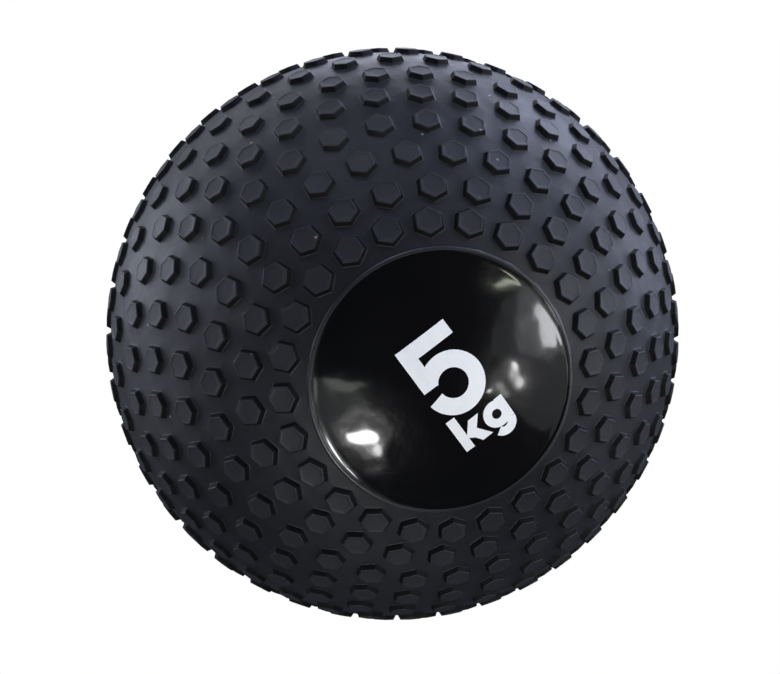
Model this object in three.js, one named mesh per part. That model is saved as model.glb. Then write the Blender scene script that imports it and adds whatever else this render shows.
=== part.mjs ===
// Hex-stud slam ball, 5 kg. Millimetres, +Z up, origin at the ball's centre.
// The label face looks along -Y, the fill opening is at the back along +Y.
import * as THREE from 'three';

// ---- driving dimensions ----------------------------------------------------
const BALL_D = 230;            // over the stud tops
const STUD_H = 1.85;           // stud height above the skin
const STUD_TOP_R = 4.5;        // corner radius of a stud's flat top
const STUD_BASE_R = 5.2;        // corner radius of a stud where it meets the skin
const WALL = 10.15;            // shell wall under the studs
const RINGS = [                // [studs in the ring, degrees from the label's centre, turn in degrees]
  [24, 25.45, 5.8], [26, 31.45, 9.6], [30, 38.05, 1.9], [33, 45.0, 4.2], [37, 52.4, 3.8],
  [40, 60.2, 0], [40, 68.8, 4.5], [40, 77.2, 0], [40, 85.65, 4.5],
];
const RIDGE = [20.7, 20.95, 21.3, 21.55];  // degrees: fine ridge round the label land
const RIDGE_H = 0.7;
const REAR_INDEX = 4.5;        // degrees the rear half is turned so the studs stay staggered
const GAP = 0.3;               // clearance between pieces that touch
const LAP_LEN = 8;             // length of the lap joint at the equator
const PLUG_FLANGE_D = 24;      // fill plug, outer flange
const PLUG_FLANGE_T = 2.6;
const PLUG_SHANK_D = 17.4;
const PLUG_LIP_D = 20.4;       // retaining lip inside the shell
const VALVE_D = 5.4;           // needle valve body
const VALVE_HEAD_D = 7.2;
const VALVE_LEN = 15;
const NEEDLE_D = 1.2;
const SAND_LEVEL = -12.5;      // height of the settled sand's surface
const SEG = 80;                // facets round the equator

const R_TOP = BALL_D / 2;
const R_SKIN = R_TOP - STUD_H;
const R_IN = R_SKIN - WALL;
const rad = (d) => d * Math.PI / 180;

// ---- point on a half: colatitude from its pole (-Y), azimuth from +X to +Z ---
const dir = (th, az) => new THREE.Vector3(
  Math.sin(th) * Math.cos(az), -Math.cos(th), Math.sin(th) * Math.sin(az));
const circle = (n, rho, y, turn = 0) => Array.from({ length: n }, (_, i) => {
  const a = turn + i * 2 * Math.PI / n;
  return new THREE.Vector3(rho * Math.cos(a), y, rho * Math.sin(a));
});
const parallel = (n, thDeg, r) => circle(n, r * Math.sin(rad(thDeg)), -r * Math.cos(rad(thDeg)));

// ---- mesh collector ----------------------------------------------------------
class Skin {
  constructor() { this.pos = []; }
  tri(a, b, c) { for (const p of [a, b, c]) this.pos.push(p.x, p.y, p.z); }
  // closes the strip between two loops, which may have different counts or be one point
  strip(A, B) {
    const na = A.length, nb = B.length;
    if (na === 1) { for (let j = 0; j < nb; j++) this.tri(A[0], B[j], B[(j + 1) % nb]); return; }
    if (nb === 1) { for (let i = 0; i < na; i++) this.tri(A[i], B[0], A[(i + 1) % na]); return; }
    let i = 0, j = 0;
    while (i < na || j < nb) {
      if (j < nb && (i >= na || (j + 1) / nb <= (i + 1) / na + 1e-9)) {
        this.tri(A[i % na], B[j % nb], B[(j + 1) % nb]); j++;
      } else {
        this.tri(A[i % na], B[j % nb], A[(i + 1) % na]); i++;
      }
    }
  }
  sweep(loops) { for (let k = 0; k + 1 < loops.length; k++) this.strip(loops[k], loops[k + 1]); }
  geometry() {
    const g = new THREE.BufferGeometry();
    g.setAttribute('position', new THREE.Float32BufferAttribute(this.pos, 3));
    g.computeVertexNormals();
    return g;
  }
}

// ---- triangles between scattered points in the plane (empty-circle rule) ------
function triangulate(pts) {
  const P = pts.map(([x, y], i) => [x + 1e-8 * Math.sin(12.9898 * i), y + 1e-8 * Math.sin(78.233 * i)]);
  const n = P.length, M = 1e4;
  P.push([-M, -M], [M, -M], [0, M]);
  const make = (a, b, c) => {
    const [ax, ay] = P[a], [bx, by] = P[b], [cx, cy] = P[c];
    const d = 2 * (ax * (by - cy) + bx * (cy - ay) + cx * (ay - by));
    const A = ax * ax + ay * ay, B = bx * bx + by * by, C = cx * cx + cy * cy;
    const x = (A * (by - cy) + B * (cy - ay) + C * (ay - by)) / d;
    const y = (A * (cx - bx) + B * (ax - cx) + C * (bx - ax)) / d;
    return { a, b, c, x, y, r: (ax - x) ** 2 + (ay - y) ** 2 };
  };
  let T = [make(n, n + 1, n + 2)];
  for (let i = 0; i < n; i++) {
    const [px, py] = P[i], edges = new Map(), keep = [];
    for (const t of T) {
      if ((px - t.x) ** 2 + (py - t.y) ** 2 < t.r) {
        for (const [u, v] of [[t.a, t.b], [t.b, t.c], [t.c, t.a]]) {
          const back = v * 1e5 + u;
          if (edges.has(back)) edges.delete(back); else edges.set(u * 1e5 + v, [u, v]);
        }
      } else keep.push(t);
    }
    for (const [u, v] of edges.values()) keep.push(make(u, v, i));
    T = keep;
  }
  return T.filter((t) => t.a < n && t.b < n && t.c < n).map((t) => {
    const [ax, ay] = P[t.a], [bx, by] = P[t.b], [cx, cy] = P[t.c];
    return (bx - ax) * (cy - ay) - (by - ay) * (cx - ax) > 0 ? [t.a, t.b, t.c] : [t.a, t.c, t.b];
  });
}

// ---- studs -------------------------------------------------------------------
function studs() {
  const out = [];
  for (const [count, colat, turn] of RINGS) {
    for (let i = 0; i < count; i++) {
      const th = rad(colat), az = rad(turn) + i * 2 * Math.PI / count;
      const c = dir(th, az);
      const tTh = new THREE.Vector3(Math.cos(th) * Math.cos(az), Math.sin(th), Math.cos(th) * Math.sin(az));
      const tAz = new THREE.Vector3(-Math.sin(az), 0, Math.cos(az));
      const ring = (r, R) => Array.from({ length: 6 }, (_, k) => {
        const a = k * Math.PI / 3;                 // a corner points at the label
        return c.clone().multiplyScalar(Math.sqrt(R * R - r * r))
          .addScaledVector(tTh, -Math.cos(a) * r).addScaledVector(tAz, Math.sin(a) * r);
      });
      out.push({ base: ring(STUD_BASE_R, R_SKIN), top: ring(STUD_TOP_R, R_TOP) });
    }
  }
  return out;
}

// ---- outer surface of one half: skin, label land, ridge and studs --------------
function outside(skin, edgeLoop, holeLoop) {
  const pts = [], owner = [];
  const add = (p, tag) => { pts.push(p); owner.push(tag); };
  if (holeLoop) holeLoop.forEach((p) => add(p, 'hole'));
  else {
    add(new THREE.Vector3(0, -R_SKIN, 0));
    parallel(12, 5, R_SKIN).forEach((p) => add(p));
  }
  parallel(24, 10.5, R_SKIN).forEach((p) => add(p));
  parallel(36, 16, R_SKIN).forEach((p) => add(p));
  RIDGE.forEach((t, i) => parallel(72, t, R_SKIN + (i % 3 ? RIDGE_H : 0)).forEach((p) => add(p)));
  const all = studs();
  all.forEach((s, k) => s.base.forEach((p) => add(p, k)));
  edgeLoop.forEach((p) => add(p));
  const flat = pts.map((p) => {                   // stereographic map, keeps circles
    const r = p.length(), k = 1 / (1 - p.y / r);
    return [p.x / r * k, p.z / r * k];
  });
  for (const [a, b, c] of triangulate(flat)) {
    if (owner[a] !== undefined && owner[a] === owner[b] && owner[b] === owner[c]) continue;
    skin.tri(pts[a], pts[b], pts[c]);
  }
  for (const { base, top } of all) {
    // corners run clockwise seen from outside, so the walls take them backwards
    const b = base.slice().reverse(), t = top.slice().reverse();
    for (let k = 0; k < 6; k++) {
      const m = (k + 1) % 6;
      skin.tri(b[k], b[m], t[m]); skin.tri(b[k], t[m], t[k]);
    }
    for (let k = 1; k < 5; k++) skin.tri(t[0], t[k], t[k + 1]);
  }
}

const yOn = (R, rho) => -Math.sqrt(R * R - rho * rho);
const mid = (R_SKIN + R_IN) / 2;                  // radius of the lap between the halves
const innerLoops = (list) => list.map(([n, t]) => (t === 0 ? [new THREE.Vector3(0, -R_IN, 0)] : parallel(n, t, R_IN)));

// ---- front half: label land, inner tongue of the lap joint ---------------------
function frontHalf() {
  const s = new Skin(), y0 = -GAP / 2, y1 = LAP_LEN / 2;
  const edge = circle(SEG, Math.sqrt(R_SKIN ** 2 - y0 ** 2), y0);
  outside(s, edge);
  const lip = circle(SEG, Math.sqrt(R_IN ** 2 - y1 ** 2), y1);
  s.sweep([edge, circle(SEG, mid - GAP / 2, y0), circle(SEG, mid - GAP / 2, y1), lip,
    ...innerLoops([[SEG, 88], [SEG, 80], [SEG, 71], [64, 62], [64, 53], [48, 44], [48, 35], [32, 26], [24, 17], [12, 8.5], [1, 0]])]);
  return s.geometry();
}

// ---- rear half: outer lip of the lap joint, stepped fill opening ----------------
function rearHalf() {
  const s = new Skin(), n = 32, y0 = -GAP / 2, y1 = -LAP_LEN / 2 - GAP;
  const rimR = PLUG_FLANGE_D / 2 + GAP, holeR = PLUG_SHANK_D / 2 + GAP;
  const seat = yOn(R_SKIN, rimR) + PLUG_FLANGE_T + GAP;
  const rim = circle(n, rimR, yOn(R_SKIN, rimR));
  const edge = circle(SEG, Math.sqrt(R_SKIN ** 2 - y0 ** 2), y0);
  outside(s, edge, rim);
  s.sweep([edge, circle(SEG, mid + GAP / 2, y0), circle(SEG, mid + GAP / 2, y1),
    circle(SEG, Math.sqrt(R_IN ** 2 - y1 ** 2), y1),
    ...innerLoops([[SEG, 80], [SEG, 71], [64, 62], [64, 53], [48, 44], [48, 35], [32, 26], [32, 17]]),
    circle(n, holeR, yOn(R_IN, holeR)), circle(n, holeR, seat), circle(n, rimR, seat), rim]);
  const g = s.geometry();
  g.rotateZ(Math.PI);                              // the same mould, turned to face +Y
  g.rotateY(rad(REAR_INDEX));
  return g;
}

// ---- turned pieces: closed profile [radius, y], walked from outside to inside ----
function turned(profile, n) {
  const s = new Skin();
  s.sweep(profile.map(([r, y]) => (r < 1e-6 ? [new THREE.Vector3(0, y, 0)] : circle(n, r, y))));
  return s.geometry();
}

function fillPlug() {
  const fr = PLUG_FLANGE_D / 2, sr = PLUG_SHANK_D / 2, lr = PLUG_LIP_D / 2;
  const face = R_SKIN - 0.2, seat = Math.sqrt(R_SKIN ** 2 - (fr + GAP) ** 2) - PLUG_FLANGE_T;
  const inner = Math.sqrt(R_IN ** 2 - lr ** 2) - GAP - 0.15, bore = VALVE_D / 2 + GAP, head = VALVE_HEAD_D / 2 + GAP;
  // ring profile: valve recess, face, flange, shank, lip, back to the bore
  const p = [[bore, face - 2.3], [head, face - 2.3], [head, face], [fr - 1.2, face], [fr, face - 1.0],
    [fr, seat], [sr, seat], [sr, inner], [lr, inner - 0.4], [lr - 0.8, inner - 2.6], [bore, inner - 2.6]];
  const s = new Skin();
  const loops = p.map(([r, y]) => circle(32, r, -y));
  s.sweep([...loops, loops[0]]);
  const g = s.geometry();
  g.rotateZ(Math.PI);
  return g;
}

function valveInsert() {
  const face = R_SKIN - 0.2 - 0.3, hr = VALVE_HEAD_D / 2, vr = VALVE_D / 2, nr = NEEDLE_D / 2;
  const end = face - VALVE_LEN;
  // needle hole is blind: the slit below it only opens for a needle
  const p = [[0, face - 6], [nr, face - 6], [nr, face - 0.8], [nr + 0.6, face], [hr - 0.3, face], [hr, face - 0.3],
    [hr, face - 1.7], [vr, face - 1.7], [vr, end + 1.2], [vr - 0.9, end], [0, end]];
  const g = turned(p.map(([r, y]) => [r, -y]), 24);
  g.rotateZ(Math.PI);
  return g;
}

function sandFill() {
  const R = R_IN - 0.7, bands = 11, t0 = Math.acos(-SAND_LEVEL / R);
  const p = [];
  for (let k = 0; k <= bands; k++) {
    const t = t0 * k / bands;
    p.push([k ? R * Math.sin(t) : 0, -R * Math.cos(t)]);
  }
  p.push([0, SAND_LEVEL]);
  const g = turned(p, 64);
  g.rotateX(Math.PI / 2);
  return g;
}

// ---- assembly ------------------------------------------------------------------
const mat = (name, color, roughness) => {
  const m = new THREE.MeshStandardMaterial({ color, roughness, metalness: 0 });
  m.name = name;
  return m;
};
const group = new THREE.Group();
group.name = 'slam_ball';
for (const [name, geo, m] of [
  ['shell_front', frontHalf(), mat('shell_rubber', 0x1d1e22, 0.72)],
  ['shell_rear', rearHalf(), mat('shell_rubber_rear', 0x1d1e22, 0.72)],
  ['fill_plug', fillPlug(), mat('plug_rubber', 0x232327, 0.6)],
  ['valve_insert', valveInsert(), mat('valve_rubber', 0x0f0f11, 0.5)],
  ['sand_fill', sandFill(), mat('sand', 0xb49a72, 0.95)],
]) {
  const mesh = new THREE.Mesh(geo, m);
  mesh.name = name;
  group.add(mesh);
}

export default group;
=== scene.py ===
"""Looks of the hex-stud slam ball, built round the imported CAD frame. Metres, +Z up, label face along -Y."""
import math

import bpy
import numpy as np
from mathutils import Matrix, Vector, noise
from mathutils.geometry import delaunay_2d_cdt


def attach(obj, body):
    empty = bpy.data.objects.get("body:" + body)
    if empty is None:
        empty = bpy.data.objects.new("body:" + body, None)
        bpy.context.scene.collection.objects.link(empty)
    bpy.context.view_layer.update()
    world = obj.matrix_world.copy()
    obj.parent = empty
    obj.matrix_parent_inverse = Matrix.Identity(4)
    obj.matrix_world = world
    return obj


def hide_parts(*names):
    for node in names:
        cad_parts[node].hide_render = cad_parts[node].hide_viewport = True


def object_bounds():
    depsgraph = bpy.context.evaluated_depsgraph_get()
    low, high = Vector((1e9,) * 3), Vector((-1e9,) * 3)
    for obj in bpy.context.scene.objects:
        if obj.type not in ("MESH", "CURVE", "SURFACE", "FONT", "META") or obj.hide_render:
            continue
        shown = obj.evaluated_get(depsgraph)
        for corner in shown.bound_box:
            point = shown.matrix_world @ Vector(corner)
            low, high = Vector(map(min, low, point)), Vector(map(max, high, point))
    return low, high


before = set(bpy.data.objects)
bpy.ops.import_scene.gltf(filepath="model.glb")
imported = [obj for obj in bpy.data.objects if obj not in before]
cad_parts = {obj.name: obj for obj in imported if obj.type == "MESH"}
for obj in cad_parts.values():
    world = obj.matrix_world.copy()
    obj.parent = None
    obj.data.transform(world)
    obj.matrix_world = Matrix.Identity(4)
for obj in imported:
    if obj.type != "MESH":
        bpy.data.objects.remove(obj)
cad_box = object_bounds()

MM = 0.001
# ---- dimensions shared with the CAD source, in millimetres ---------------------
R_TOP, STUD_H, STUD_TOP_R, STUD_BASE_R, WALL = 115.0, 1.85, 4.5, 5.2, 10.15
R_SKIN = R_TOP - STUD_H
R_IN = R_SKIN - WALL
RINGS = [(24, 25.45, 5.8), (26, 31.45, 9.6), (30, 38.05, 1.9), (33, 45.0, 4.2), (37, 52.4, 3.8),
         (40, 60.2, 0.0), (40, 68.8, 4.5), (40, 77.2, 0.0), (40, 85.65, 4.5)]
REAR_INDEX, GAP, LAP_LEN = 4.5, 0.3, 8.0
FLANGE_R, FLANGE_T, SHANK_R, LIP_R = 12.0, 2.6, 8.7, 10.2
VALVE_R, VALVE_HEAD_R, VALVE_LEN = 2.7, 3.6, 15.0
SAND_LEVEL = -12.5
COS30 = math.cos(math.pi / 6)


# ---- small mesh helpers ----------------------------------------------------------
class Build:
    def __init__(self):
        self.v, self.f, self.m, self.n = [], [], [], 0

    def add(self, pts):
        """Adds points, returns their indices."""
        pts = np.asarray(pts, float).reshape(-1, 3)
        i = np.arange(self.n, self.n + len(pts))
        self.v.append(pts)
        self.n += len(pts)
        return i

    def face(self, idx, mat=0):
        self.f.append(tuple(int(k) for k in idx))
        self.m.append(mat)

    def strip(self, A, B, mat=0):
        """Closes the strip between two loops; counts may differ, or one may be a single point."""
        na, nb = len(A), len(B)
        if na == 1:
            for j in range(nb):
                self.face((A[0], B[j], B[(j + 1) % nb]), mat)
        elif nb == 1:
            for i in range(na):
                self.face((A[i], B[0], A[(i + 1) % na]), mat)
        elif na == nb:
            for i in range(na):
                k = (i + 1) % na
                self.face((A[i], B[i], B[k], A[k]), mat)
        else:
            i = j = 0
            while i < na or j < nb:
                if j < nb and (i >= na or (j + 1) / nb <= (i + 1) / na + 1e-9):
                    self.face((A[i % na], B[j % nb], B[(j + 1) % nb]), mat)
                    j += 1
                else:
                    self.face((A[i % na], B[j % nb], A[(i + 1) % na]), mat)
                    i += 1

    def sweep(self, loops, mat=0):
        for a, b in zip(loops, loops[1:]):
            self.strip(a, b, mat)

    def object(self, name, mats, turn=None, sharp=38.0):
        v = np.concatenate(self.v) * MM
        if turn is not None:
            v = v @ np.array(turn.to_3x3()).T
        me = bpy.data.meshes.new(name)
        me.from_pydata(v.tolist(), [], self.f)
        for mt in mats:
            me.materials.append(mt)
        me.polygons.foreach_set("material_index", self.m)
        me.polygons.foreach_set("use_smooth", [True] * len(self.f))
        me.update()
        me.validate(clean_customdata=False)
        me.set_sharp_from_angle(angle=math.radians(sharp))
        ob = bpy.data.objects.new(name, me)
        bpy.context.scene.collection.objects.link(ob)
        return ob


def circle(n, rho, y, turn=0.0):
    a = turn + np.arange(n) * 2 * np.pi / n
    return np.c_[rho * np.cos(a), np.full(n, float(y)), rho * np.sin(a)]


def unit(th, az):
    return np.stack([np.sin(th) * np.cos(az), -np.cos(th), np.sin(th) * np.sin(az)], -1)


# ---- label land: soft waves of a glossy moulded rubber skin ------------------------
RIDGE_MID, RIDGE_HALF = 21.12, 0.46     # degrees


def land_wave(p):
    """Height in mm of the soft unevenness at unit direction p."""
    q = Vector(p)
    a = noise.noise(q * 9.0 + Vector((3.1, 0.7, 5.2))) * 0.20
    b = noise.noise(q * 24.0 + Vector((8.3, 4.1, 1.9))) * 0.050
    c = noise.noise(q * 60.0 + Vector((1.3, 9.4, 6.6))) * 0.010
    return a + b + c


def height(p):
    """Skin height over R_SKIN in mm at unit direction p, pole at -Y."""
    th = math.degrees(math.acos(max(-1.0, min(1.0, -p[1]))))
    d = (th - RIDGE_MID) / RIDGE_HALF
    h = 0.0
    if abs(d) < 1:
        h = 0.62 * math.sqrt(1 - d * d)                 # fine half-round bead
    if th < RIDGE_MID:
        fade = min(1.0, max(0.0, (RIDGE_MID - RIDGE_HALF - th) / 1.2))
        fade = fade * fade * (3 - 2 * fade)
        h += fade * (land_wave(p) - 0.10)
        g = (th - (RIDGE_MID - RIDGE_HALF - 0.16)) / 0.16
        if abs(g) < 1:
            h -= 0.16 * (1 - g * g)                     # groove inside the bead
    return h


# ---- printed weight: plain strokes of one width, on the label plane -----------------
def stroke(path, w, closed=False):
    """Outline of a constant-width stroke along a polyline, flat ends."""
    P = np.array(path, float)
    n = len(P)
    L, R = [], []
    for i in range(n):
        if closed:
            a, b = P[i - 1], P[(i + 1) % n]
            d0, d1 = P[i] - a, b - P[i]
        else:
            d0 = P[i] - P[i - 1] if i else P[1] - P[0]
            d1 = P[i + 1] - P[i] if i < n - 1 else P[-1] - P[-2]
        d0, d1 = d0 / np.linalg.norm(d0), d1 / np.linalg.norm(d1)
        n0, n1 = np.array([-d0[1], d0[0]]), np.array([-d1[1], d1[0]])
        m = (n0 + n1) / max(1e-6, 1 + n0 @ n1)
        L.append(P[i] + m * w / 2)
        R.append(P[i] - m * w / 2)
    return L + R[::-1]


def arc(cx, cy, r, a0, a1, n):
    return [(cx + r * math.cos(math.radians(a0 + (a1 - a0) * i / n)),
             cy + r * math.sin(math.radians(a0 + (a1 - a0) * i / n))) for i in range(n + 1)]


def dense(poly, step=0.7):
    """Adds points along the outline so that it follows the curved land."""
    out = []
    for i, a in enumerate(poly):
        a, b = np.array(a, float), np.array(poly[(i + 1) % len(poly)], float)
        k = max(1, int(np.linalg.norm(b - a) / step))
        out += [a + (b - a) * j / k for j in range(k)]
    return out


INK_TURN = math.radians(37.0)
five = stroke([(10.9, 14.7), (-4.6, 14.7), (-4.6, 2.25)], 5.0)
bowl = stroke(arc(2.1, -0.1, 7.35, 150, -171, 40), 5.3)
kay = [[(-7.1, -20.9), (-4.0, -20.9), (-4.0, -8.9), (-7.1, -8.9)],
       [(-4.6, -17.0), (-1.2, -12.5), (2.6, -12.5), (-2.2, -18.6)],
       [(-3.4, -16.9), (-1.1, -15.0), (3.0, -20.9), (-0.8, -20.9)]]
INK = [(five, None), (bowl, None)]
INK += [(p, None) for p in kay]
INK += [(arc(7.2, -16.7, 4.45, 0, 350, 35), arc(7.2, -16.7, 1.6, 0, 340, 17)),
        ([(8.75, -12.3), (11.75, -12.3), (11.75, -20.4), (8.75, -20.4)], None),
        (stroke(arc(7.35, -20.4, 2.9, 0, -150, 16), 3.0), None)]


def label_points(poly):
    """Label-plane points (mm) to stereographic coordinates."""
    out = []
    c, s = math.cos(INK_TURN), math.sin(INK_TURN)
    for x, y in poly:
        u, v = x * c - y * s, x * s + y * c
        th = math.hypot(u, v) / R_SKIN
        k = math.tan(th / 2) / max(1e-9, math.hypot(u, v))
        out.append((u * k, v * k))
    area2 = sum(a[0] * b[1] - a[1] * b[0] for a, b in zip(out, out[1:] + out[:1]))
    return out if area2 > 0 else out[::-1]


# ---- studs ------------------------------------------------------------------------------
A_BASE = STUD_BASE_R * COS30
# (offset of the flat from the base hexagon, height over the skin, 0 = follows skin .. 1 = follows flat top)
PROFILE = [(0.55, 0.00, 0), (0.26, 0.05, 0), (0.08, 0.16, 0), (0.00, 0.34, 0), (-0.52, STUD_H - 0.46, .7),
           (-0.60, STUD_H - 0.24, 1), (-0.65, STUD_H - 0.11, 1), (-0.74, STUD_H - 0.03, 1), (-0.86, STUD_H, 1),
           (-1.18, STUD_H - 0.01, 1), (-1.45, STUD_H - 0.10, 1), (-1.85, STUD_H - 0.13, 1), (-3.2, STUD_H - 0.14, 1)]
N_CORNER = 3


def hexagon(off):
    """Rounded hexagon outline in the stud's own plane, 6 * N_CORNER points."""
    a = A_BASE + off
    rc = max(0.25, 0.55 + 0.6 * off)
    rc = min(rc, a * 0.6)
    pts = []
    for k in range(6):
        f = math.radians(60 * k)
        cx, cy = (a - rc) / COS30 * math.cos(f), (a - rc) / COS30 * math.sin(f)
        for j in range(N_CORNER):
            g = f + math.radians(-30 + 60 * j / (N_CORNER - 1))
            pts.append((cx + rc * math.cos(g), cy + rc * math.sin(g)))
    return np.array(pts)


HEX = [hexagon(o) for o, _, _ in PROFILE]


def stud_frames():
    out = []
    for count, colat, turn in RINGS:
        for i in range(count):
            th, az = math.radians(colat), math.radians(turn) + i * 2 * math.pi / count
            c = unit(th, az)
            t_th = np.array([math.cos(th) * math.cos(az), math.sin(th), math.cos(th) * math.sin(az)])
            t_az = np.array([-math.sin(az), 0.0, math.cos(az)])
            out.append((c, -t_th, -t_az))
    return out


def stud_loops(c, x, y):
    h_top = math.sqrt(R_TOP ** 2 - STUD_TOP_R ** 2)
    loops = []
    for P, (off, h, t) in zip(HEX, PROFILE):
        rho2 = (P ** 2).sum(1)
        skin = np.sqrt(R_SKIN ** 2 - rho2) + h
        flat = h_top - (STUD_H - h)
        H = skin * (1 - t) + flat * t
        loops.append(c[None] * H[:, None] + P[:, :1] * x[None] + P[:, 1:] * y[None])
    mid = c * (h_top - 0.14)
    return loops, mid


def stereo(p):
    p = np.asarray(p, float).reshape(-1, 3)
    r = np.linalg.norm(p, axis=1, keepdims=True)
    q = p / r
    k = 1 / (1 - q[:, 1])
    return np.c_[q[:, 0] * k, q[:, 2] * k]


def unstereo(q):
    q = np.asarray(q, float).reshape(-1, 2)
    s = (q ** 2).sum(1)
    return np.c_[2 * q[:, 0], -(1 - s), 2 * q[:, 1]] / (1 + s)[:, None]


SKIN, TOPS, LAND, PRINT, INNER, SIDE_SHADE, BEAD_GLINT = range(7)
SEG = 240


def outside(B, edge, hole, ink):
    """Outer surface of one half: skin, land, bead, studs, and the print's outline in the same surface."""
    frames = stud_frames()
    cen = np.array([f[0] for f in frames])
    flat, xyz, edges, faces = [], [], [], []

    def put(q2, p3=None, loop=False, face=False):
        base = len(flat)
        q2 = [tuple(map(float, q)) for q in q2]
        flat.extend(q2)
        if p3 is None:
            u = unstereo(q2)
            p3 = [p * (R_SKIN + height(p)) for p in u]
        xyz.extend(np.asarray(p3, float))
        n = len(q2)
        if loop:
            edges.extend((base + i, base + (i + 1) % n) for i in range(n))
        if face:
            faces.append([base + i for i in range(n)])
            return len(faces) - 1
        return base

    # open edge at the equator, and the fill opening
    put(stereo(edge), edge, loop=True)
    hole_face = put(stereo(hole), hole, face=True) if hole is not None else None
    # studs
    first_stud = len(faces)
    loops_all = [stud_loops(*f) for f in frames]
    stud_base = []
    for loops, _ in loops_all:
        stud_base.append(len(flat))
        put(stereo(loops[0]), loops[0], face=True)
    last_stud = len(faces)
    # bead loops
    for d in (-1.35, -1.17, -1.0, -0.92, -0.72, -0.4, 0.0, 0.4, 0.72, 0.92, 1.0, 1.2):
        th = math.radians(RIDGE_MID + d * RIDGE_HALF)
        a = np.arange(216) * 2 * np.pi / 216
        k = math.tan(th / 2)
        put(np.c_[k * np.cos(a), k * np.sin(a)], loop=True)
    # print outlines
    ink_shapes = []
    outline = []
    if ink:
        for solid, void in INK:
            pts = label_points(dense(solid))
            outline += pts
            s = put(pts, face=True)
            v = None
            if void is not None:
                pts = label_points(dense(void, 0.5))
                outline += pts
                v = put(pts, face=True)
            ink_shapes.append((s, v))
    outline = np.array(outline) if outline else np.zeros((0, 2))
    # fill points: fine on the land, coarser on the skin
    fill = []
    r_hole = (FLANGE_R + GAP) / R_SKIN
    th = 0.35
    while th < RIDGE_MID - 1.5 * RIDGE_HALF - 0.4:
        n = max(6, int(2 * math.pi * math.sin(math.radians(th)) * R_SKIN / 1.35))
        a = (np.arange(n) + 0.5 * (int(th * 10) % 2)) * 2 * np.pi / n
        if hole is None or math.radians(th) > r_hole + 0.006:
            k = math.tan(math.radians(th) / 2)
            fill.append(np.c_[k * np.cos(a), k * np.sin(a)])
        th += 0.62
    land = np.concatenate(fill)
    if len(outline):
        d2 = ((land[:, None] - outline[None]) ** 2).sum(-1).min(1)
        land = land[d2 > (0.45 / (2 * R_SKIN)) ** 2]
    put(land)
    fill = []
    th, row = RIDGE_MID + 1.2 * RIDGE_HALF + 0.8, 0
    while th < 89.0:
        n = int(2 * math.pi * math.sin(math.radians(th)) * R_SKIN / 3.4)
        a = (np.arange(n) + 0.5 * (row % 2)) * 2 * np.pi / n
        fill.append(unit(np.full(n, math.radians(th)), a))
        th += 1.55
        row += 1
    skin = np.concatenate(fill)
    near = np.concatenate([(skin[i:i + 500] @ cen.T).max(1) for i in range(0, len(skin), 500)])
    skin = skin[near < math.cos((STUD_BASE_R + 1.9) / R_SKIN)]
    put(stereo(skin), skin * R_SKIN)

    scale = 100.0
    res = delaunay_2d_cdt([Vector((x * scale, y * scale)) for x, y in flat], edges, faces, 0, 1e-7, True)
    out_v, _, out_f, src_v, _, src_f = res
    pts3 = []
    for i, q in enumerate(out_v):
        if src_v[i]:
            pts3.append(xyz[src_v[i][0]])
        else:
            u = unstereo([[q[0] / scale, q[1] / scale]])[0]
            pts3.append(u * (R_SKIN + height(u)))
    idx = B.add(pts3)
    back = {}
    for i, s in enumerate(src_v):
        for k in s:
            back[k] = idx[i]
    P3 = np.array(pts3)
    r2 = np.array([[q[0], q[1]] for q in out_v]) / scale
    k_land = math.tan(math.radians(RIDGE_MID + 1.1 * RIDGE_HALF) / 2)
    k_bead = math.tan(math.radians(RIDGE_MID - 0.7 * RIDGE_HALF) / 2)
    for f, src in zip(out_f, src_f):
        if any(first_stud <= s < last_stud for s in src) or (hole_face is not None and hole_face in src):
            continue
        q = r2[list(f)]
        area = (q[1][0] - q[0][0]) * (q[2][1] - q[0][1]) - (q[1][1] - q[0][1]) * (q[2][0] - q[0][0])
        if area < 0:
            f = f[::-1]
        mat = SKIN
        if np.hypot(*q.mean(0)) < k_land:
            # bead faces take the lighter material, whose colour paints part of the bead's glint
            mat = LAND if np.hypot(*q.mean(0)) < k_bead else BEAD_GLINT
            if any(s in src and (v is None or v not in src) for s, v in ink_shapes):
                mat = PRINT
        B.face([idx[k] for k in f], mat)
    for base, (loops, mid) in zip(stud_base, loops_all):
        n = len(loops[0])
        ids = [[back[base + i] for i in range(n)]] + [B.add(l) for l in loops[1:]]
        for k, (a, b) in enumerate(zip(ids, ids[1:])):
            # loops run anticlockwise seen from outside, from the wide one in to the narrow one
            # the wall strips take the darker material, which paints shade on the stud walls
            B.strip(b, a, TOPS if k >= 5 else SIDE_SHADE if k >= 2 else SKIN)
        m = B.add([mid])
        B.strip(m, ids[-1], TOPS)
    return [back[i] for i in range(len(edge))], ([back[len(edge) + i] for i in range(len(hole))] if hole is not None else None)


def y_on(R, rho):
    return -math.sqrt(R * R - rho * rho)


LAP = (R_SKIN + R_IN) / 2


def inner_loops(B, table):
    return [B.add(circle(n, R_IN * math.sin(math.radians(t)), -R_IN * math.cos(math.radians(t)))) if t else B.add([[0, -R_IN, 0]])
            for n, t in table]


def edge_round(y0, r=0.35):
    """Loops that round the outer corner of the open edge, from the skin inwards: (radius, y)."""
    R = math.sqrt(R_SKIN ** 2 - y0 ** 2)
    return [(R - r * (1 - math.cos(a)), y0 - r + r * math.sin(a)) for a in (0, .5, 1.05, math.pi / 2)]


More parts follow.
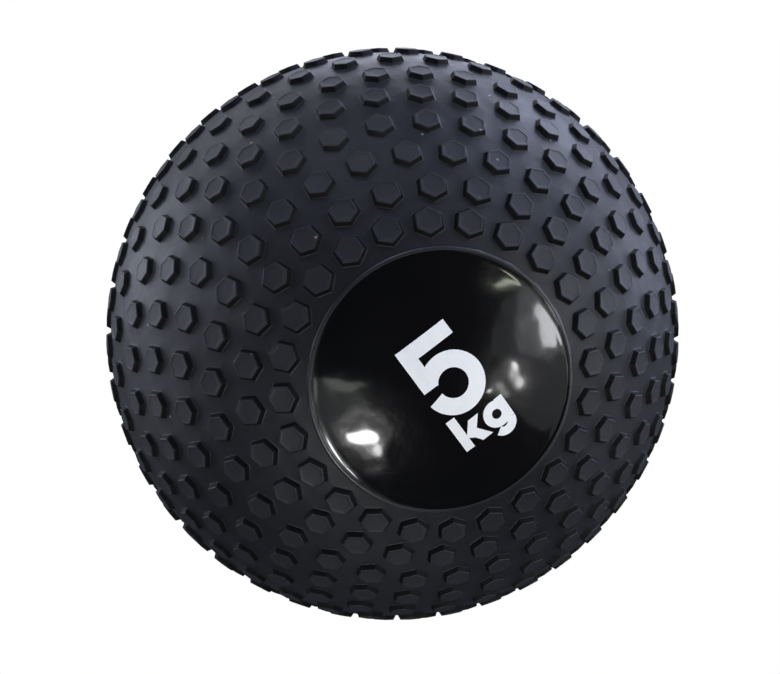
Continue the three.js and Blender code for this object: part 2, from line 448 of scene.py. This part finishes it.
def front_half(mats):
    B = Build()
    y0, y1 = -GAP / 2, LAP_LEN / 2
    prof = edge_round(y0)
    e, _ = outside(B, circle(SEG, prof[0][0], prof[0][1]), None, True)
    loops = [e] + [B.add(circle(SEG, r, y)) for r, y in prof[1:]]
    loops += [B.add(circle(SEG, LAP - GAP / 2, y0)), B.add(circle(SEG, LAP - GAP / 2, y1)),
              B.add(circle(SEG, math.sqrt(R_IN ** 2 - y1 ** 2), y1))]
    loops += inner_loops(B, [(SEG, 88), (SEG, 82), (192, 74), (192, 66), (144, 58), (144, 50), (96, 42), (96, 34), (64, 26), (48, 18), (24, 10), (12, 4), (1, 0)])
    B.sweep(loops, INNER)
    return B.object("shell_front_skin", mats)


def rear_half(mats):
    B = Build()
    n, y0, y1 = 96, -GAP / 2, -LAP_LEN / 2 - GAP
    rim, hr = FLANGE_R + GAP, SHANK_R + GAP
    seat = y_on(R_SKIN, rim) + FLANGE_T + GAP
    prof = edge_round(y0)
    ro = rim + 0.5                                     # softened mouth of the opening
    hole = circle(n, ro, y_on(R_SKIN + height(unit(ro / R_SKIN, 0.0)), ro))
    e, h = outside(B, circle(SEG, prof[0][0], prof[0][1]), hole, False)
    loops = [e] + [B.add(circle(SEG, r, y)) for r, y in prof[1:]]
    loops += [B.add(circle(SEG, LAP + GAP / 2, y0)), B.add(circle(SEG, LAP + GAP / 2, y1)),
              B.add(circle(SEG, math.sqrt(R_IN ** 2 - y1 ** 2), y1))]
    loops += inner_loops(B, [(SEG, 82), (192, 74), (192, 66), (144, 58), (144, 50), (96, 42), (96, 34), (96, 26), (96, 17), (96, 9)])
    loops += [B.add(circle(n, r, y)) for r, y in ((hr, y_on(R_IN, hr)), (hr, seat), (rim, seat),
                                                 (rim, y_on(R_SKIN, rim) + 0.55), (rim + 0.06, y_on(R_SKIN, rim) + 0.25),
                                                 (rim + 0.22, y_on(R_SKIN, rim) + 0.07))]
    loops.append(h)
    B.sweep(loops, INNER)
    turn = Matrix.Rotation(math.radians(REAR_INDEX), 4, "Y") @ Matrix.Rotation(math.pi, 4, "Z")
    return B.object("shell_rear_skin", mats, turn)


def turned(name, profile, n, mats, turn, closed):
    """Piece of revolution about Y from (radius, y, material) points."""
    B = Build()
    loops = [B.add([[0, -y, 0]]) if r < 1e-6 else B.add(circle(n, r, -y)) for r, y, _ in profile]
    if closed:
        loops.append(loops[0])
        profile = profile + [profile[0]]
    for (a, b), (_, _, m) in zip(zip(loops, loops[1:]), profile[1:]):
        B.strip(a, b, m)
    return B.object(name, mats, turn)


BACK = Matrix.Rotation(math.pi, 4, "Z")


def fill_plug(mats):
    face = R_SKIN - 0.2
    seat = math.sqrt(R_SKIN ** 2 - (FLANGE_R + GAP) ** 2) - FLANGE_T
    inner = math.sqrt(R_IN ** 2 - LIP_R ** 2) - GAP - 0.15
    bore, head = VALVE_R + GAP, VALVE_HEAD_R + GAP
    f = FLANGE_R
    p = [(bore, face - 2.3), (head, face - 2.3), (head, face - 0.35), (head + 0.12, face - 0.12), (head + 0.4, face),
         (f - 6.2, face), (f - 5.9, face - 0.08), (f - 5.7, face - 0.30), (f - 5.3, face - 0.38), (f - 4.9, face - 0.30), (f - 4.7, face - 0.08), (f - 4.4, face - 0.01),
         (f - 1.9, face - 0.05), (f - 1.2, face - 0.16), (f - 0.6, face - 0.42), (f - 0.2, face - 0.85), (f, face - 1.4),
         (f, seat + 0.3), (f - 0.3, seat), (SHANK_R, seat), (SHANK_R, inner), (LIP_R - 0.3, inner), (LIP_R, inner - 0.4), (LIP_R - 0.8, inner - 2.6), (bore, inner - 2.6)]
    return turned("fill_plug_rubber", [(r, y, 0) for r, y in p], 96, mats, BACK, True)


def valve_insert(mats):
    face = R_SKIN - 0.5
    h, v = VALVE_HEAD_R, VALVE_R
    p = [(0, face - 6), (0.6, face - 5.9), (0.6, face - 1.3), (0.75, face - 0.75), (1.15, face - 0.28), (1.6, face - 0.06), (1.9, face), (h - 0.6, face),
         (h - 0.2, face - 0.1), (h, face - 0.4), (h, face - 1.7), (v, face - 1.7), (v, face - 14.0 + 0.4), (v - 0.9, face - VALVE_LEN), (0, face - VALVE_LEN)]
    return turned("valve_insert_rubber", [(r, y, 0) for r, y in p], 64, mats, BACK, False)


def sand_fill(mats):
    """Loose fill settled at the bottom, with a gently heaped grainy surface."""
    B = Build()
    R = R_IN - 0.75
    t0 = math.acos(-(SAND_LEVEL) / R)
    n, loops = 144, []
    for k in range(26):
        t = t0 * k / 25
        loops.append(B.add([[0, 0, -R]]) if k == 0 else
                     B.add(np.c_[R * math.sin(t) * np.cos(np.arange(n) * 2 * np.pi / n),
                                 R * math.sin(t) * np.sin(np.arange(n) * 2 * np.pi / n), np.full(n, -R * math.cos(t))]))
    edge = R * math.sin(t0)
    for k in range(1, 48):
        r = edge * (1 - k / 48)
        a = np.arange(n) * 2 * np.pi / n
        x, y = r * np.cos(a), r * np.sin(a)
        z = []
        for i in range(n):
            q = Vector((x[i], y[i], 0))
            w = min(1.0, k / 5)
            z.append(SAND_LEVEL - 0.5 + w * (1.1 * noise.noise(q / 34) + 0.5 * noise.noise(q / 7) + 0.35 * noise.noise(q / 2.2)))
        loops.append(B.add(np.c_[x, y, z]))
    loops.append(B.add([[0, 0, SAND_LEVEL - 0.5]]))
    # the loops here run about +Z seen from above, so the strips are taken backwards
    for a, b in zip(loops, loops[1:]):
        B.strip(b, a, 0) if len(b) == len(a) else B.strip(*((b, a)), 0)
    return B.object("sand_grains", mats)


# ---- materials ----------------------------------------------------------------------------
def new_mat(name):
    m = bpy.data.materials.new(name)
    m.use_nodes = True
    nt = m.node_tree
    nt.nodes.clear()
    out = nt.nodes.new("ShaderNodeOutputMaterial")
    b = nt.nodes.new("ShaderNodeBsdfPrincipled")
    nt.links.new(b.outputs[0], out.inputs[0])
    return m, nt, b


def node(nt, kind, **kw):
    n = nt.nodes.new(kind)
    for k, v in kw.items():
        if k in n.inputs:
            n.inputs[k].default_value = v
        else:
            setattr(n, k, v)
    return n


def ramp(nt, src, stops):
    r = nt.nodes.new("ShaderNodeValToRGB")
    el = r.color_ramp.elements
    while len(el) > 1:
        el.remove(el[-1])
    el[0].position, el[0].color = stops[0][0], stops[0][1]
    for p, c in stops[1:]:
        e = el.new(p)
        e.color = c
    nt.links.new(src, r.inputs[0])
    return r


def grey(v, b=1.0):
    return (v, v * (1 + 0.24 * (b - 1)), v * b, 1)


def rubber(name, dark, light, rough, blue, dust, bump=0.25, sheen=0.0, spec=0.5):
    m, nt, b = new_mat(name)
    co = node(nt, "ShaderNodeTexCoord")
    obj = co.outputs["Object"]
    big = node(nt, "ShaderNodeTexNoise", Scale=22.0, Detail=4.0, Roughness=0.6)
    fine = node(nt, "ShaderNodeTexNoise", Scale=520.0, Detail=5.0, Roughness=0.65)
    mid = node(nt, "ShaderNodeTexNoise", Scale=110.0, Detail=3.0, Roughness=0.55)
    for t in (big, fine, mid):
        nt.links.new(obj, t.inputs["Vector"])
    base = ramp(nt, big.outputs["Fac"], [(0.32, grey(dark, blue)), (0.70, grey(light, blue))])
    col = base.outputs[0]
    if dust:
        # pale dust specks, scattered and small
        vor = node(nt, "ShaderNodeTexVoronoi", Scale=260.0, Randomness=1.0)
        nt.links.new(obj, vor.inputs["Vector"])
        spot = node(nt, "ShaderNodeMapRange")
        spot.inputs["From Min"].default_value = 0.16
        spot.inputs["From Max"].default_value = 0.07
        nt.links.new(vor.outputs["Distance"], spot.inputs["Value"])
        pick = node(nt, "ShaderNodeSeparateColor")
        nt.links.new(vor.outputs["Color"], pick.inputs[0])
        few = node(nt, "ShaderNodeMath", operation="GREATER_THAN")
        few.inputs[1].default_value = 1 - dust
        nt.links.new(pick.outputs[0], few.inputs[0])
        mul = node(nt, "ShaderNodeMath", operation="MULTIPLY")
        nt.links.new(spot.outputs[0], mul.inputs[0])
        nt.links.new(few.outputs[0], mul.inputs[1])
        mix = node(nt, "ShaderNodeMix", data_type="RGBA")
        nt.links.new(mul.outputs[0], mix.inputs["Factor"])
        nt.links.new(col, mix.inputs[6])
        mix.inputs[7].default_value = (0.20, 0.20, 0.21, 1)
        col = mix.outputs[2]
    nt.links.new(col, b.inputs["Base Color"])
    rr = node(nt, "ShaderNodeMapRange")
    rr.inputs["To Min"].default_value = rough - 0.08
    rr.inputs["To Max"].default_value = rough + 0.08
    nt.links.new(mid.outputs["Fac"], rr.inputs["Value"])
    nt.links.new(rr.outputs[0], b.inputs["Roughness"])
    bp1 = node(nt, "ShaderNodeBump", Strength=bump, Distance=0.00012)
    nt.links.new(fine.outputs["Fac"], bp1.inputs["Height"])
    bp2 = node(nt, "ShaderNodeBump", Strength=bump * 0.8, Distance=0.0006)
    nt.links.new(mid.outputs["Fac"], bp2.inputs["Height"])
    nt.links.new(bp1.outputs[0], bp2.inputs["Normal"])
    nt.links.new(bp2.outputs[0], b.inputs["Normal"])
    b.inputs["Specular IOR Level"].default_value = spec
    if sheen:
        b.inputs["Sheen Weight"].default_value = sheen
        b.inputs["Sheen Roughness"].default_value = 0.5
        b.inputs["Sheen Tint"].default_value = (0.75, 0.80, 1.0, 1)
    return m


def gloss_land(name):
    m, nt, b = new_mat(name)
    co = node(nt, "ShaderNodeTexCoord")
    obj = co.outputs["Object"]
    n1 = node(nt, "ShaderNodeTexNoise", Scale=38.0, Detail=2.0, Roughness=0.5)
    n2 = node(nt, "ShaderNodeTexNoise", Scale=150.0, Detail=3.0, Roughness=0.55)
    n3 = node(nt, "ShaderNodeTexNoise", Scale=9.0, Detail=3.0, Roughness=0.6)
    for t in (n1, n2, n3):
        nt.links.new(obj, t.inputs["Vector"])
    base = ramp(nt, n3.outputs["Fac"], [(0.35, (0.0010, 0.0010, 0.0012, 1)), (0.55, (0.0022, 0.0018, 0.0018, 1)), (0.72, (0.0045, 0.0046, 0.0040, 1))])
    nt.links.new(base.outputs[0], b.inputs["Base Color"])
    rr = node(nt, "ShaderNodeMapRange")
    rr.inputs["To Min"].default_value = 0.12
    rr.inputs["To Max"].default_value = 0.30
    nt.links.new(n1.outputs["Fac"], rr.inputs["Value"])
    nt.links.new(rr.outputs[0], b.inputs["Roughness"])
    bp = node(nt, "ShaderNodeBump", Strength=0.35, Distance=0.0004)
    nt.links.new(n2.outputs["Fac"], bp.inputs["Height"])
    nt.links.new(bp.outputs[0], b.inputs["Normal"])
    b.inputs["Specular IOR Level"].default_value = 0.12
    b.inputs["Coat Weight"].default_value = 0.55
    b.inputs["Coat Roughness"].default_value = 0.09
    return m


def ink_mat(name):
    m, nt, b = new_mat(name)
    co = node(nt, "ShaderNodeTexCoord")
    n1 = node(nt, "ShaderNodeTexNoise", Scale=300.0, Detail=3.0, Roughness=0.6)
    nt.links.new(co.outputs["Object"], n1.inputs["Vector"])
    base = ramp(nt, n1.outputs["Fac"], [(0.3, (0.89, 0.90, 0.92, 1)), (0.6, (0.94, 0.95, 0.96, 1))])
    nt.links.new(base.outputs[0], b.inputs["Base Color"])
    rr = node(nt, "ShaderNodeMapRange")
    rr.inputs["To Min"].default_value = 0.38
    rr.inputs["To Max"].default_value = 0.52
    nt.links.new(n1.outputs["Fac"], rr.inputs["Value"])
    nt.links.new(rr.outputs[0], b.inputs["Roughness"])
    return m


def sand_mat(name):
    m, nt, b = new_mat(name)
    co = node(nt, "ShaderNodeTexCoord")
    vor = node(nt, "ShaderNodeTexVoronoi", Scale=900.0, Randomness=1.0)
    nz = node(nt, "ShaderNodeTexNoise", Scale=60.0, Detail=5.0)
    nt.links.new(co.outputs["Object"], vor.inputs["Vector"])
    nt.links.new(co.outputs["Object"], nz.inputs["Vector"])
    sep = node(nt, "ShaderNodeSeparateColor")
    nt.links.new(vor.outputs["Color"], sep.inputs[0])
    grain = ramp(nt, sep.outputs[0], [(0.0, (0.20, 0.13, 0.07, 1)), (0.45, (0.42, 0.31, 0.19, 1)), (0.8, (0.55, 0.44, 0.29, 1)), (1.0, (0.70, 0.64, 0.52, 1))])
    nt.links.new(grain.outputs[0], b.inputs["Base Color"])
    b.inputs["Roughness"].default_value = 0.9
    bp = node(nt, "ShaderNodeBump", Strength=0.6, Distance=0.0006)
    nt.links.new(vor.outputs["Distance"], bp.inputs["Height"])
    nt.links.new(bp.outputs[0], b.inputs["Normal"])
    return m


m_skin = rubber("rubber_skin", 0.0058, 0.0115, 0.50, 1.45, 0.020, bump=0.34, spec=0.285)
m_tops = rubber("rubber_stud_tops", 0.0105, 0.0170, 0.51, 1.32, 0.050, bump=0.40, spec=0.31)
# stud walls: a darker copy of the same rubber, painted shade on the walls
m_side_painted_shade = rubber("rubber_stud_sides_painted_shade", 0.0022, 0.0040, 0.62, 1.30, 0.0, bump=0.30, spec=0.14)
# ridge bead: colour lighter than the skin, part painted highlight for the glint along its top; its gloss and roughness
# are the real finish
m_bead_painted_glint = rubber("rubber_ridge_painted_glint", 0.0120, 0.0180, 0.34, 1.20, 0.0, bump=0.20, spec=0.50)
m_land = gloss_land("rubber_gloss_land")
m_ink = ink_mat("print_white")
m_inner = rubber("rubber_inside", 0.020, 0.030, 0.75, 1.1, 0.0, bump=0.3)
m_plug = rubber("rubber_plug", 0.014, 0.022, 0.45, 1.1, 0.006, bump=0.2)
m_valve = rubber("rubber_valve", 0.008, 0.012, 0.35, 1.0, 0.0, bump=0.15)
m_sand = sand_mat("sand_grain")
SHELL = [m_skin, m_tops, m_land, m_ink, m_inner, m_side_painted_shade, m_bead_painted_glint]

pieces = [
    (front_half(SHELL), "shell_front", "shell_rubber"),
    (rear_half(SHELL), "shell_rear", "shell_rubber"),
    (fill_plug([m_plug]), "fill_plug", "plug_rubber"),
    (valve_insert([m_valve]), "valve_insert", "valve_rubber"),
    (sand_fill([m_sand]), "sand_fill", "sand"),
]
for ob, cad, slot in pieces:
    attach(ob, "root")
    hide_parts(cad)

# ---- camera ---------------------------------------------------------------------------------
CAM_D = 3.30                                   # camera distance in ball radii
RIGHT = Vector((0.98919161, -0.1459907, 0.0136631))
UP = Vector((0.00691299, 0.13951174, 0.99019629))
BACKV = Vector((-0.14646561, -0.9793994, 0.13901307))
F_PX = 286.6 * math.sqrt(CAM_D ** 2 - 1)
cam = bpy.data.objects.new("camera", bpy.data.cameras.new("camera"))
bpy.context.scene.collection.objects.link(cam)
cam.data.sensor_width = 36.0
cam.data.lens = F_PX / 780 * 36.0
cam.data.clip_start, cam.data.clip_end = 0.01, 60.0
cam.data.shift_x, cam.data.shift_y = -2.5 / 780, -3.2 / 780
rot = Matrix((RIGHT, UP, BACKV)).transposed().to_4x4()
cam.matrix_world = Matrix.Translation(BACKV * CAM_D * R_TOP * MM) @ rot
bpy.context.scene.camera = cam


def cam_dir(x, y, z):
    return (RIGHT * x + UP * y + BACKV * z).normalized()


# ---- light ------------------------------------------------------------------------------------
def area(name, d, dist, w, h, power, colour=(1, 1, 1), spread=math.pi):
    li = bpy.data.lights.new(name, "AREA")
    li.shape, li.size, li.size_y = "ELLIPSE", w, h
    li.energy, li.color, li.spread = power, colour, spread
    ob = bpy.data.objects.new(name, li)
    bpy.context.scene.collection.objects.link(ob)
    ob.location = d * dist
    ob.rotation_euler = d.to_track_quat("Z", "Y").to_euler()
    ob.visible_camera = False
    return ob


# soft panels round the ball: angle from the camera toward the right, height, watts, colour
SOFT = [
    ("soft_right_high", 60, 50, 2.3, (0.87, 0.98, 1.36)),
    ("soft_back_right_high", 120, 50, 5.2, (0.91, 0.99, 1.32)),
    ("soft_back_high", 180, 50, 3.3, (0.96, 0.99, 1.22)),
    ("soft_back_left_high", 240, 50, 1.8, (0.93, 1.00, 1.12)),
    ("soft_right", 76, 16, 1.4, (0.91, 1.00, 1.24)),
    ("soft_back_right", 108, 18, 3.3, (0.91, 0.99, 1.30)),
    ("soft_back_left", 252, 18, 3.8, (0.94, 1.00, 1.17)),
    ("fill_high", 335, 61, 2.3, (0.91, 1.00, 1.28)),
    ("fill_left", 288, 12, 2.1, (0.94, 1.00, 1.20)),
    ("soft_left_low", 262, -12, 1.1, (0.95, 1.00, 1.16)),
    ("soft_right_low", 98, -22, 0.6, (0.96, 1.00, 1.14)),
    ("fill_low", 340, -80, 0.6, (1.00, 1.00, 1.08)),
]
for name, az, el, watts, colour in SOFT:
    az, el = math.radians(az), math.radians(el)
    top = max(colour)
    area(name, cam_dir(math.cos(el) * math.sin(az), math.sin(el), math.cos(el) * math.cos(az)), 1.1, 0.62, 0.62,
         watts * top, tuple(c / top for c in colour))
area("haze_right", cam_dir(0.85, -0.10, 0.50), 1.1, 1.0, 1.0, 1.3, (0.95, 0.98, 1.0))
area("haze_left", cam_dir(-0.37, -0.47, 0.80), 1.0, 0.52, 0.44, 0.34, (0.95, 0.98, 1.0))
# small lamps in front of the ball, which make the sharp lights on the glossy land
area("lamp_low_left", cam_dir(-0.16, -0.57, 0.79), 0.9, 0.15, 0.10, 1.9)
area("lamp_low_left_b", cam_dir(-0.09, -0.65, 0.75), 0.9, 0.06, 0.07, 0.30)
area("lamp_low_left_halo", cam_dir(-0.17, -0.55, 0.80), 0.95, 0.34, 0.26, 0.22)
area("lamp_right", cam_dir(0.83, 0.04, 0.56), 0.9, 0.16, 0.22, 1.35, (0.95, 0.97, 1.0))
area("lamp_right_halo", cam_dir(0.83, 0.08, 0.55), 0.95, 0.42, 0.46, 0.40, (0.95, 0.97, 1.0))
area("lamp_spot", cam_dir(0.67, -0.22, 0.70), 0.9, 0.07, 0.07, 0.40)
area("lamp_spot_b", cam_dir(0.58, -0.31, 0.75), 0.9, 0.04, 0.04, 0.12)
area("tube_right", cam_dir(0.65, 0.305, 0.69), 0.9, 0.22, 0.04, 0.30, (0.92, 1.0, 0.82))
area("tube_left", cam_dir(-0.27, -0.32, 0.91), 0.9, 0.22, 0.10, 0.12, (0.93, 1.0, 0.90))

world = bpy.data.worlds.new("studio")
bpy.context.scene.world = world
world.use_nodes = True
wn = world.node_tree
wn.nodes["Background"].inputs[0].default_value = (0.58, 0.64, 0.80, 1)
wn.nodes["Background"].inputs[1].default_value = 0.11


# ---- stage: pale floor and white surround, seen by the camera only, so they throw no light ----
def stage_mat(name, strength):
    m = bpy.data.materials.new(name)
    m.use_nodes = True
    nt = m.node_tree
    nt.nodes.clear()
    out = nt.nodes.new("ShaderNodeOutputMaterial")
    e = nt.nodes.new("ShaderNodeEmission")
    e.inputs[0].default_value = (1, 1, 1, 1)
    e.inputs[1].default_value = strength
    nt.links.new(e.outputs[0], out.inputs[0])
    return m


def camera_only(ob):
    ob.visible_diffuse = ob.visible_glossy = ob.visible_transmission = False
    ob.visible_shadow = ob.visible_volume_scatter = False


me = bpy.data.meshes.new("surround")
Bd = Build()
rings = [Bd.add([[0, -8000, 0]])] + [Bd.add(circle(48, 8000 * math.sin(math.radians(t)), -8000 * math.cos(math.radians(t)))) for t in range(15, 180, 15)] + [Bd.add([[0, 8000, 0]])]
Bd.sweep(rings)
dome = Bd.object("surround", [stage_mat("surround_white", 1.0)])
camera_only(dome)
Bf = Build()
z = cad_box[0][2] / MM - 0.2
q = Bf.add([[-6000, -6000, z], [6000, -6000, z], [6000, 6000, z], [-6000, 6000, z]])
Bf.face(q)
floor = Bf.object("floor", [stage_mat("floor_pale", 1.0)])
camera_only(floor)

scene = bpy.context.scene
scene.view_settings.view_transform = "Standard"
scene.view_settings.look = "None"
scene.view_settings.exposure = 0.0
scene.view_settings.gamma = 1.0
